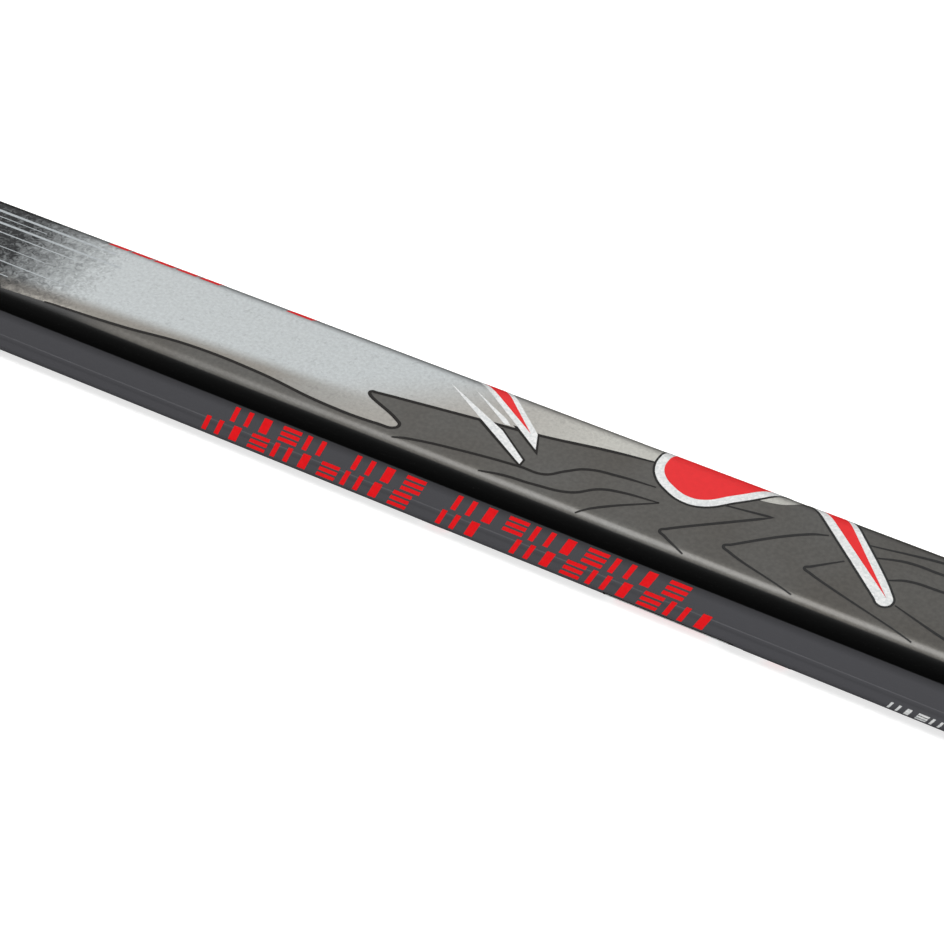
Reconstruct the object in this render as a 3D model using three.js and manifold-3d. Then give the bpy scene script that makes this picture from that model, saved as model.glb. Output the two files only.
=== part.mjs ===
// Senior ice hockey stick, left-handed: a hollow rectangular carbon shaft, a foam-cored
// carbon blade whose hosel is bonded into the shaft's lower end, and a plug in the butt end.
//
// Millimetres, +Z up. The stick lies on one wide face of its shaft. +X runs along the shaft
// from the butt end to the heel, and the blade turns off towards +Y, its concave face up.
// The origin is on the shaft's underside, on its centreline, halfway from butt end to heel.

import * as THREE from "three";
import { mergeVertices } from "three/addons/utils/BufferGeometryUtils.js";
import Module from "manifold-3d";

const wasm = await Module();
wasm.setup();

// ---------------------------------------------------------------- driving dimensions

const SHAFT_LENGTH = 1524; // butt end to heel
const SHAFT_WIDTH = 30; // side to side, along Y, over the wide faces
const SHAFT_DEPTH = 20; // between the wide faces, along Z
const CORNER_RADIUS = 4.6;
const SHAFT_WALL = 1.8;

const TAPER_START = 330; // X where the shaft starts to slim down
const TAPER_END = 668; // X where it has its least section
const NECK_WIDTH = 23.5;
const NECK_DEPTH = 12.5;
const JOINT_X = 600; // the tube ends here and the hosel begins
const WRAP_LENGTH = 56;
const WRAP_THICKNESS = 0.5;
const TENON_IN_TUBE = 68;
const TENON_IN_HOSEL = 72;
const RESIN_STOP_LENGTH = 22;

const BLADE_TURN = THREE.MathUtils.degToRad(45); // between the shaft's line and the blade's
const BLADE_LENGTH = 300; // heel corner to toe, along the bottom edge
const BLADE_HEIGHT_HEEL = 58;
const BLADE_HEIGHT_TOE = 68;
const HEEL_RADIUS = 45;
const THROAT_RADIUS = 70;
const TOE_TOP_LENGTH = 65; // the toe's rounding, along the top edge
const TOE_BOTTOM_LENGTH = 30; // and along the bottom edge
const TOE_POINT_HEIGHT = 30; // the foremost point, above the bottom edge's line
const ROCKER_RISE = 4; // how far the bottom edge lifts before the toe
const HEEL_THICKNESS = 9.4;
const TOE_THICKNESS = 5.4;
const TOP_EDGE_THINNING = 1.0;
const EDGE_ROUNDING = 0.36; // edge radius as a share of the thickness
const CURVE_RISE = 33; // how far the curve lifts the toe
const CURVE_POWER = 2.6; // 2 would be an even curve, more bends the toe end more
const FACE_LOFT = THREE.MathUtils.degToRad(7.4); // the top edge leans back by this
const BLADE_SKIN = 1.2;
const RIB_THICKNESS = 1.4;

const CAP_FLANGE = 3.2;
const CAP_BEVEL = 0.8;
const CAP_PLUG_LENGTH = 26;
const CAP_PLUG_WALL = 1.8;
const LABEL_SIZE = [62, 0.2, 9]; // along the shaft, thickness, height
const LABEL_X = -560;

const GLUE_GAP = 0.3; // between a piece and the hollow it is bonded into
const SEAM_GAP = 0.1; // between pieces that butt or lie on each other

const CORNER_STEPS = 4; // facets around a section's rounded corner
const MID_Z = SHAFT_DEPTH / 2;
const BUTT_X = -SHAFT_LENGTH / 2;
const HEEL_X = SHAFT_LENGTH / 2;

// ---------------------------------------------------------------- materials

const finish = (color, roughness, metalness = 0) =>
  new THREE.MeshStandardMaterial({ color, roughness, metalness });

const glossCarbon = finish(0x17181a, 0.22);
const bladeCarbon = finish(0x1d1e20, 0.35);
const innerCarbon = finish(0x2b2c2e, 0.6);
const capPlastic = finish(0x141415, 0.5);
const coreFoam = finish(0xe8e2cf, 0.9);
const epoxyTenon = finish(0x3a3a38, 0.5);
const labelVinyl = finish(0xf2f2ef, 0.4);

// ---------------------------------------------------------------- the section of the shaft

const { lerp, smoothstep } = THREE.MathUtils;

// 0 before the taper, 1 at the neck.
const taperAt = (x) => smoothstep(x, TAPER_START, TAPER_END);
const widthAt = (x) => lerp(SHAFT_WIDTH, NECK_WIDTH, taperAt(x));
const depthAt = (x) => lerp(SHAFT_DEPTH, NECK_DEPTH, taperAt(x));

// The shaft's rounded rectangle, centred, grown outwards by `grow` (or inwards if negative).
function sectionPath(grow, kind = THREE.Shape) {
  const a = SHAFT_WIDTH / 2 + grow;
  const b = SHAFT_DEPTH / 2 + grow;
  const r = Math.max(CORNER_RADIUS + grow, 1);
  const quarter = Math.PI / 2;
  const path = new kind();
  path.moveTo(a, r - b);
  path.absarc(a - r, b - r, r, 0, quarter, false);
  path.absarc(r - a, b - r, r, quarter, 2 * quarter, false);
  path.absarc(r - a, r - b, r, 2 * quarter, 3 * quarter, false);
  path.absarc(a - r, r - b, r, 3 * quarter, 4 * quarter, false);
  path.closePath();
  return path;
}

// A straight bar of that section from x0 to x1 that follows the taper, with an optional bore.
function bar(x0, x1, grow, { bore = null, steps = 1, bevel = 0 } = {}) {
  const shape = sectionPath(grow - bevel);
  if (bore !== null) shape.holes.push(sectionPath(bore, THREE.Path));
  const geometry = new THREE.ExtrudeGeometry(shape, {
    depth: x1 - x0 - 2 * bevel,
    steps,
    curveSegments: CORNER_STEPS / 2, // an arc gets twice this many
    bevelEnabled: bevel > 0,
    bevelSize: bevel,
    bevelThickness: bevel,
    bevelSegments: 2,
  });
  const points = geometry.attributes.position;
  for (let i = 0; i < points.count; i++) {
    const x = points.getZ(i) + x0 + bevel;
    const y = points.getX(i);
    const z = points.getY(i);
    const slimY = (SHAFT_WIDTH - widthAt(x)) / 2;
    const slimZ = (SHAFT_DEPTH - depthAt(x)) / 2;
    points.setXYZ(i, x, y - Math.sign(y) * slimY, MID_Z + z - Math.sign(z) * slimZ);
  }
  return geometry;
}

// ---------------------------------------------------------------- joining and cutting

function solidOf(geometry) {
  const bare = geometry.clone();
  bare.deleteAttribute("normal");
  bare.deleteAttribute("uv");
  const merged = mergeVertices(bare, 1e-4);
  const vertProperties = merged.attributes.position.array;
  const triVerts = new Uint32Array(merged.index.array);
  return new wasm.Manifold(new wasm.Mesh({ numProp: 3, vertProperties, triVerts }));
}

function geometryOf(solid) {
  const mesh = solid.getMesh();
  const geometry = new THREE.BufferGeometry();
  geometry.setAttribute("position", new THREE.BufferAttribute(mesh.vertProperties, 3));
  geometry.setIndex(new THREE.BufferAttribute(mesh.triVerts, 1));
  return geometry;
}

const joined = (a, b) => geometryOf(solidOf(a).add(solidOf(b)));
const cutFrom = (a, b) => geometryOf(solidOf(a).subtract(solidOf(b)));

// ---------------------------------------------------------------- the blade's plan

// s runs along the bottom edge from the heel corner to the toe, h runs up the face.
const heel = new THREE.Vector2(HEEL_X, -NECK_WIDTH / 2);
const along = new THREE.Vector2(Math.cos(BLADE_TURN), Math.sin(BLADE_TURN));
const up = new THREE.Vector2(-along.y, along.x);
const planPoint = (s, h) =>
  heel.clone().addScaledVector(along, s).addScaledVector(up, h);

// Where the neck's inner side would meet the straight top edge, and the two fillets' ends.
const turnTangent = Math.tan(BLADE_TURN / 2);
const throatS =
  -(BLADE_HEIGHT_HEEL * Math.cos(BLADE_TURN) - NECK_WIDTH) / Math.sin(BLADE_TURN);
const throatCorner = planPoint(throatS, BLADE_HEIGHT_HEEL);
const throatStartX = throatCorner.x - THROAT_RADIUS * turnTangent;
const throatEndS = throatS + THROAT_RADIUS * turnTangent;
const heelEndS = HEEL_RADIUS * turnTangent;

// Pairs of points on the blade's outer and inner edges, from the joint to the toe.
function edgeStations(toeAngleDegrees, toeSteps) {
  const pairs = [];

  const neckSteps = 2;
  for (let i = 0; i < neckSteps; i++) {
    const x = lerp(JOINT_X, throatStartX, i / neckSteps);
    const half = widthAt(x) / 2;
    pairs.push([new THREE.Vector2(x, -half), new THREE.Vector2(x, half)]);
  }

  const quarter = Math.PI / 2;
  const heelSide = new THREE.Path();
  heelSide.moveTo(throatStartX, heel.y);
  heelSide.lineTo(HEEL_X - heelEndS, heel.y);
  heelSide.absarc(
    HEEL_X - heelEndS, heel.y + HEEL_RADIUS, HEEL_RADIUS, -quarter, BLADE_TURN - quarter, false,
  );
  const throatSide = new THREE.Path();
  throatSide.absarc(
    throatStartX, NECK_WIDTH / 2 + THROAT_RADIUS, THROAT_RADIUS,
    -quarter, BLADE_TURN - quarter, false,
  );
  const bendSteps = 8;
  for (let i = 0; i < bendSteps; i++) {
    pairs.push([heelSide.getPointAt(i / bendSteps), throatSide.getPointAt(i / bendSteps)]);
  }

  const toeBottomS = BLADE_LENGTH - TOE_BOTTOM_LENGTH;
  const toeTopS = BLADE_LENGTH - TOE_TOP_LENGTH;
  const bottomEdge = new THREE.QuadraticBezierCurve(
    planPoint(heelEndS, 0), planPoint(BLADE_LENGTH / 2, 0), planPoint(toeBottomS, ROCKER_RISE),
  );
  const topEdge = new THREE.CubicBezierCurve(
    planPoint(throatEndS, BLADE_HEIGHT_HEEL),
    planPoint(lerp(throatEndS, toeTopS, 1 / 3), BLADE_HEIGHT_HEEL),
    planPoint(lerp(throatEndS, toeTopS, 2 / 3), BLADE_HEIGHT_TOE),
    planPoint(toeTopS, BLADE_HEIGHT_TOE),
  );
  const faceSteps = 10;
  for (let i = 0; i < faceSteps; i++) {
    pairs.push([bottomEdge.getPointAt(i / faceSteps), topEdge.getPointAt(i / faceSteps)]);
  }

  for (let i = 0; i <= toeSteps; i++) {
    const angle = THREE.MathUtils.degToRad((toeAngleDegrees * i) / toeSteps);
    const forward = Math.sin(angle);
    const aside = Math.cos(angle);
    const below = (TOE_POINT_HEIGHT - ROCKER_RISE) * aside;
    const above = (BLADE_HEIGHT_TOE - TOE_POINT_HEIGHT) * aside;
    pairs.push([
      planPoint(toeBottomS + TOE_BOTTOM_LENGTH * forward, TOE_POINT_HEIGHT - below),
      planPoint(toeTopS + TOE_TOP_LENGTH * forward, TOE_POINT_HEIGHT + above),
    ]);
  }
  return pairs;
}

const outlinePairs = edgeStations(86, 8);
const pocketPairs = edgeStations(74, 6);
const NECK_CORE_FIRST = 2; // the neck core's first and last pairs
const NECK_CORE_LAST = 7;

const outline = [
  ...outlinePairs.map(([outer]) => outer),
  ...outlinePairs.map(([, inner]) => inner).reverse(),
];

function distanceToOutline(point) {
  let least = Infinity;
  for (let i = 1; i < outline.length; i++) {
    const side = outline[i].clone().sub(outline[i - 1]);
    const offset = point.clone().sub(outline[i - 1]);
    const t = THREE.MathUtils.clamp(offset.dot(side) / side.lengthSq(), 0, 1);
    least = Math.min(least, offset.addScaledVector(side, -t).length());
  }
  return least;
}

// ---------------------------------------------------------------- the blade's thickness

const BLEND_START_S = -45; // where the neck's section starts to turn into the blade's
const BLEND_END_S = 60;
const LOFT_START_S = -20; // and where the face starts to lean back
const LOFT_END_S = 90;

// Mid-surface height, thickness and skin at a point of the plan.
function bladeAt(point) {
  const offset = point.clone().sub(heel);
  const s = offset.dot(along);
  const h = offset.dot(up);
  const toeward = THREE.MathUtils.clamp(s / BLADE_LENGTH, 0, 1);
  const blend = smoothstep(s, BLEND_START_S, BLEND_END_S);
  const face =
    lerp(HEEL_THICKNESS, TOE_THICKNESS, toeward) -
    (TOP_EDGE_THINNING * h) / BLADE_HEIGHT_TOE;
  const curve = CURVE_RISE * Math.pow(toeward, CURVE_POWER);
  const lean = Math.tan(FACE_LOFT) * h * smoothstep(s, LOFT_START_S, LOFT_END_S);
  return {
    middle: MID_Z + curve - lean,
    thickness: lerp(depthAt(point.x), face, blend),
    skin: lerp(SHAFT_WALL, BLADE_SKIN, blend),
  };
}

const edgeRadius = (thickness) => Math.min(CORNER_RADIUS, EDGE_ROUNDING * thickness);

// Half the thickness at a distance from the outline, `inset` inside the outer surface.
function halfThickness(thickness, distance, inset) {
  const radius = Math.max(edgeRadius(thickness) - inset, 0.4);
  const reach = THREE.MathUtils.clamp(radius - (distance - inset), 0, radius);
  return thickness / 2 - inset - radius + Math.sqrt(radius * radius - reach * reach);
}

// Places across the blade, closer together near the two ends where its edges are rounded.
function placesAcross(start, end, radius) {
  const near = [];
  for (let i = 0; i <= CORNER_STEPS; i++) {
    near.push(radius * (1 - Math.cos((i * Math.PI) / 2 / CORNER_STEPS)));
  }
  const middle = (start + end) / 2;
  const far = near.map((d) => end - d).reverse();
  return [...near.map((d) => start + d), middle, ...far];
}

// A closed block between pairs of edge points. A `hollow` block is set in by the skin, and
// `gap` then shrinks it on every side. `halfSpan` limits it to a strip along the middle.
// `low` and `high` are its bottom and top as shares of the half thickness.
function bladeBlock(pairs, { hollow = false, gap = 0, halfSpan = null, low = -1, high = 1 }) {
  const rows = pairs.map(([outer, inner]) => {
    const width = outer.distanceTo(inner);
    const across = inner.clone().sub(outer).divideScalar(width);
    const centre = bladeAt(outer.clone().lerp(inner, 0.5));
    const inset = hollow ? centre.skin : 0;
    const start = halfSpan === null ? inset : width / 2 - halfSpan;
    const end = width - start;
    const radius = Math.min(
      Math.max(edgeRadius(centre.thickness) - inset, 0.4), (end - start) * 0.3,
    );
    return placesAcross(start, end, radius).map((place) => {
      const point = outer.clone().addScaledVector(across, place);
      const { middle, thickness } = bladeAt(point);
      const half = halfThickness(thickness, distanceToOutline(point), inset) - gap;
      const inward = gap * (1 - (2 * (place - start)) / (end - start));
      point.addScaledVector(across, inward);
      return { point, middle, half };
    });
  });
  const acrossSteps = rows[0].length - 1;
  const alongSteps = rows.length - 1;
  const geometry = new THREE.BoxGeometry(1, 1, 1, alongSteps, acrossSteps, 1);
  const points = geometry.attributes.position;
  for (let i = 0; i < points.count; i++) {
    const row = Math.round((points.getX(i) + 0.5) * alongSteps);
    const column = Math.round((points.getY(i) + 0.5) * acrossSteps);
    const { point, middle, half } = rows[row][column];
    const share = points.getZ(i) > 0 ? high : low;
    const lift = share === 0 ? Math.sign(high + low) * (SEAM_GAP / 2) : share * half;
    points.setXYZ(i, point.x, point.y, middle + lift);
  }
  return geometry;
}

// ---------------------------------------------------------------- the sub-parts

const stick = new THREE.Group();

function addPart(name, geometry, material) {
  const mesh = new THREE.Mesh(geometry, material);
  mesh.name = name;
  stick.add(mesh);
}

// Shaft: a moulded carbon tube, open at both ends, straight for most of its length.
const tubeStart = BUTT_X + CAP_FLANGE + SEAM_GAP;
const straightTube = bar(tubeStart, TAPER_START, 0, { bore: -SHAFT_WALL });
const taperedTube = bar(TAPER_START, JOINT_X - SEAM_GAP, 0, { bore: -SHAFT_WALL, steps: 6 });
addPart("shaft_tube", joined(straightTube, taperedTube), glossCarbon);

// Butt cap: a flange over the tube's end and a hollow plug inside it.
const plugEnd = tubeStart + CAP_PLUG_LENGTH;
const plugGrow = -SHAFT_WALL - GLUE_GAP;
const flange = bar(BUTT_X, BUTT_X + CAP_FLANGE, 0, { bevel: CAP_BEVEL });
const plug = bar(BUTT_X + CAP_FLANGE / 2, plugEnd, plugGrow);
const plugHollow = bar(BUTT_X + CAP_FLANGE, plugEnd + 1, plugGrow - CAP_PLUG_WALL);
addPart("butt_cap", cutFrom(joined(flange, plug), plugHollow), capPlastic);

// Stock label on the narrow side that faces +Y.
const label = new THREE.BoxGeometry(...LABEL_SIZE);
label.translate(LABEL_X, SHAFT_WIDTH / 2 + SEAM_GAP / 2 + LABEL_SIZE[1] / 2, MID_Z);
addPart("stock_label", label, labelVinyl);

// Tenon: the solid peg that carries the blade, half in the tube and half in the hosel.
const tenonStart = JOINT_X - TENON_IN_TUBE;
const tenonEnd = JOINT_X + TENON_IN_HOSEL;
addPart("blade_tenon", bar(tenonStart, tenonEnd, plugGrow, { steps: 3 }), epoxyTenon);

// Resin stop: the foam block pushed up the tube ahead of the tenon.
const stopEnd = tenonStart - GLUE_GAP;
addPart("resin_stop", bar(stopEnd - RESIN_STOP_LENGTH, stopEnd, plugGrow), coreFoam);

// Joint wrap: a thin carbon sleeve laid over the seam between tube and hosel.
const wrapStart = JOINT_X - WRAP_LENGTH / 2;
const wrap = { bore: SEAM_GAP, steps: 4 };
const wrapEnd = JOINT_X + WRAP_LENGTH / 2;
addPart("joint_wrap", bar(wrapStart, wrapEnd, SEAM_GAP + WRAP_THICKNESS, wrap), glossCarbon);

// Blade shells: the forehand and backhand halves of the moulded skin, hollowed for the core.
const pocketRun = [
  [new THREE.Vector2(JOINT_X - 5, -widthAt(JOINT_X) / 2),
    new THREE.Vector2(JOINT_X - 5, widthAt(JOINT_X) / 2)],
  ...pocketPairs,
];
const pocket = bladeBlock(pocketRun, { hollow: true });
const forehand = bladeBlock(outlinePairs, { low: 0 });
const backhand = bladeBlock(outlinePairs, { high: 0 });
addPart("blade_shell_forehand", cutFrom(forehand, pocket), bladeCarbon);
addPart("blade_shell_backhand", cutFrom(backhand, pocket), bladeCarbon);

// Cores and rib: foam in the neck, then two foam cores with a carbon rib between them.
const neckPairs = pocketPairs.slice(NECK_CORE_FIRST, NECK_CORE_LAST + 1);
const neckEnd = neckPairs.at(-1);
const faceStart = neckEnd.map((point) => point.clone().addScaledVector(along, GLUE_GAP));
const facePairs = [faceStart, ...pocketPairs.slice(NECK_CORE_LAST + 1, -1)];
const cutterPairs = pocketPairs.slice(NECK_CORE_LAST); // past both ends of the face cores
const ribSide = RIB_THICKNESS / 2;
const faceCore = bladeBlock(facePairs, { hollow: true, gap: GLUE_GAP });
const ribSlot = bladeBlock(cutterPairs, { halfSpan: ribSide + GLUE_GAP });
const ribStrip = bladeBlock(cutterPairs, { halfSpan: ribSide });
const [lowerCore, upperCore] = solidOf(faceCore).subtract(solidOf(ribSlot)).decompose()
  .sort((a, b) => b.boundingBox().max[0] - a.boundingBox().max[0]);
addPart("neck_core", bladeBlock(neckPairs, { hollow: true, gap: GLUE_GAP }), coreFoam);
addPart("lower_core", geometryOf(lowerCore), coreFoam);
addPart("upper_core", geometryOf(upperCore), coreFoam);
addPart("blade_rib", geometryOf(solidOf(faceCore).intersect(solidOf(ribStrip))), innerCarbon);

export default stick;
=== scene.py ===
import math

import bmesh
import bpy
from mathutils import Matrix, Vector


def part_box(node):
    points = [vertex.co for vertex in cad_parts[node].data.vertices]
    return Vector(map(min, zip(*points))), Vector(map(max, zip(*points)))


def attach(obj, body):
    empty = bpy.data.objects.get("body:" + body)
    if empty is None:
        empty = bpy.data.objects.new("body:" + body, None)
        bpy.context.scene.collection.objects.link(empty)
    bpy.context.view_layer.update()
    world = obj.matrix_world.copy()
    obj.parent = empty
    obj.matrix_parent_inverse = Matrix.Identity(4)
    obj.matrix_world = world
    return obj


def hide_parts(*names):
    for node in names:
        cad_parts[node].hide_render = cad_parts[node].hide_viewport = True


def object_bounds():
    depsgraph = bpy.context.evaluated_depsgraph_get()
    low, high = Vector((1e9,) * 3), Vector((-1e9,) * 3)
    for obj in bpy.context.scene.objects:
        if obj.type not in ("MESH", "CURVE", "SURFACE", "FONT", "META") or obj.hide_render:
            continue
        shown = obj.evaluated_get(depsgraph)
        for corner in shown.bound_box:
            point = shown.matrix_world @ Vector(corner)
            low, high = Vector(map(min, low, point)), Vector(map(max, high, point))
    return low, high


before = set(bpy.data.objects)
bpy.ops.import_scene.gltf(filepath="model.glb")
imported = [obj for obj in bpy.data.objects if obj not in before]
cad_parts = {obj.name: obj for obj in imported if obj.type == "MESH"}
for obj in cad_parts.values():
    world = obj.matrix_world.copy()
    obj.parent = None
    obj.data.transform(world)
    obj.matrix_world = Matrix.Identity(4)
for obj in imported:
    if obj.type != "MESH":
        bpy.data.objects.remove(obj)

cad_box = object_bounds()
MM = 0.001

# -------------------- shaft tube
# The shaft is a hollow box of carbon plies wound on a steel mandrel and pressed in a mould.
# Its faces are flat and its corners round, and it slims down towards the blade. It is
# sprayed charcoal and black, then gunmetal on the two wide faces, and clear-coated to a gloss.

tube_low, tube_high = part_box("shaft_tube")
SHAFT_WIDTH = tube_high[1] - tube_low[1]
SHAFT_DEPTH = tube_high[2] - tube_low[2]
MID_Z = (tube_high[2] + tube_low[2]) / 2
CORNER_RADIUS = 4.6 * MM
SHAFT_WALL = 1.8 * MM
NECK_WIDTH = 23.5 * MM
NECK_DEPTH = 12.5 * MM
TAPER_START = 330 * MM
TAPER_END = 668 * MM
CORNER_STEPS = 10


def smooth(value, low, high):
    t = min(max((value - low) / (high - low), 0), 1)
    return t * t * (3 - 2 * t)


def slim_at(x):
    """How far the sides and the faces have come in at x, as (per side, per face)."""
    t = smooth(x, TAPER_START, TAPER_END)
    return t * (SHAFT_WIDTH - NECK_WIDTH) / 2, t * (SHAFT_DEPTH - NECK_DEPTH) / 2


def section_ring(bm, x, grow):
    """Adds the outline of the shaft's section at x, grown by `grow`, and returns its edges."""
    corners = bmesh.ops.create_grid(bm, x_segments=1, y_segments=1, size=0.5)["verts"]
    size = (SHAFT_WIDTH + 2 * grow, SHAFT_DEPTH + 2 * grow, 1)
    bmesh.ops.scale(bm, vec=size, verts=corners)
    before = set(bm.verts) - set(corners)
    radius = max(CORNER_RADIUS + grow, 0.7 * MM)
    bmesh.ops.bevel(
        bm, geom=corners, offset=radius, offset_type="OFFSET", segments=CORNER_STEPS,
        profile=0.5, affect="VERTICES", material=-1,
    )
    verts = [v for v in bm.verts if v not in before]
    stand_up = Matrix(((0, 0, 1, x), (1, 0, 0, 0), (0, 1, 0, MID_Z), (0, 0, 0, 1)))
    bmesh.ops.transform(bm, matrix=stand_up, verts=verts)
    bmesh.ops.delete(bm, geom=list(verts[0].link_faces), context="FACES_ONLY")
    return list({e for v in verts for e in v.link_edges})


def section_loft(stations, closed=False):
    """A skin over rings of the shaft's section at (x, grow) stations, its ends filled or, if
    `closed`, its last ring joined to its first. It follows the shaft's taper."""
    bm = bmesh.new()
    rings = [section_ring(bm, x, grow) for x, grow in stations]
    pairs = list(zip(rings, rings[1:]))
    if closed:
        pairs.append((rings[-1], rings[0]))
    for first, second in pairs:
        bmesh.ops.bridge_loops(bm, edges=first + second)
    if not closed:
        for ring in (rings[0], rings[-1]):
            bmesh.ops.contextual_create(bm, geom=ring)
    for v in bm.verts:
        side, face = slim_at(v.co.x)
        v.co.y -= math.copysign(side, v.co.y)
        v.co.z -= math.copysign(face, v.co.z - MID_Z)
    bmesh.ops.recalc_face_normals(bm, faces=bm.faces[:])
    return bm


def even_places(start, end, steps):
    return [start + (end - start) * i / steps for i in range(steps + 1)]


def finish_piece(name, bm, material, replaced=(), sharp_degrees=35):
    """Turns a bmesh into a shaded piece that rides on the stick."""
    mesh = bpy.data.meshes.new(name)
    bm.to_mesh(mesh)
    bm.free()
    mesh.shade_smooth()
    mesh.set_sharp_from_angle(angle=math.radians(sharp_degrees))
    mesh.materials.append(material)
    piece = bpy.data.objects.new(name, mesh)
    bpy.context.scene.collection.objects.link(piece)
    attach(piece, "root")
    if replaced:
        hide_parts(*replaced)
    return piece


def linear(hex_colour):
    """An sRGB hex colour as the linear RGBA that the shaders take."""
    parts = [int(hex_colour[i:i + 2], 16) / 255 for i in (1, 3, 5)]
    return [c / 12.92 if c <= 0.04045 else ((c + 0.055) / 1.055) ** 2.4 for c in parts] + [1]


def new_material(name):
    material = bpy.data.materials.new(name)
    material.use_nodes = True
    material.node_tree.nodes.clear()
    return material


def add(owner, kind, inputs, out=0, **settings):
    """Adds a shader node and returns one of its outputs. An input is given by its name or
    number, and takes a value, a hex colour or another node's output."""
    tree = owner.node_tree
    made = tree.nodes.new("ShaderNode" + kind)
    for key, value in settings.items():
        setattr(made, key, value)
    for key, value in inputs.items():
        if isinstance(value, bpy.types.NodeSocket):
            tree.links.new(value, made.inputs[key])
        elif isinstance(value, str):
            made.inputs[key].default_value = linear(value)
        else:
            made.inputs[key].default_value = value
    return made.outputs[out] if made.outputs else made


COLOUR_MIX = {"out": 2, "data_type": "RGBA"}   # a Mix node that mixes colours
EASED = {"interpolation_type": "SMOOTHSTEP"}   # a MapRange node that starts and stops softly


def grained(name, texture, pattern, colours, depth, finish):
    """A material whose colour and relief both follow one fine `pattern`, its two colours from
    the pattern's lows to its highs and its relief that deep. `finish` goes to the shader."""
    material = new_material(name)
    place = add(material, "TexCoord", {}, out="Object")
    grain = add(material, texture, {"Vector": place, **pattern})
    colour = add(material, "Mix", {0: grain, 6: colours[0], 7: colours[1]}, **COLOUR_MIX)
    relief = add(material, "Bump", {"Height": grain, "Strength": 1.0, "Distance": depth})
    shader = add(material, "BsdfPrincipled", {"Base Color": colour, "Normal": relief, **finish})
    add(material, "OutputMaterial", {"Surface": shader})
    return material


# Two-pack paint under a clear coat. The pearl flakes in the gunmetal make the wide faces
# glow softly where they face the light. Two corners are a deep black that mirrors the room,
# and the rest is charcoal, with painted shade darkening the narrow faces towards their
# edges. A fine pebble shows through from the carbon below.
GRIP_END = -424 * MM
PANEL_START = (-100 * MM, -82 * MM)
PANEL_END = (330 * MM, 235 * MM)
PEBBLE_SIZE = 0.9 * MM
FIBRE_SIZE = 0.5 * MM


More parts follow.
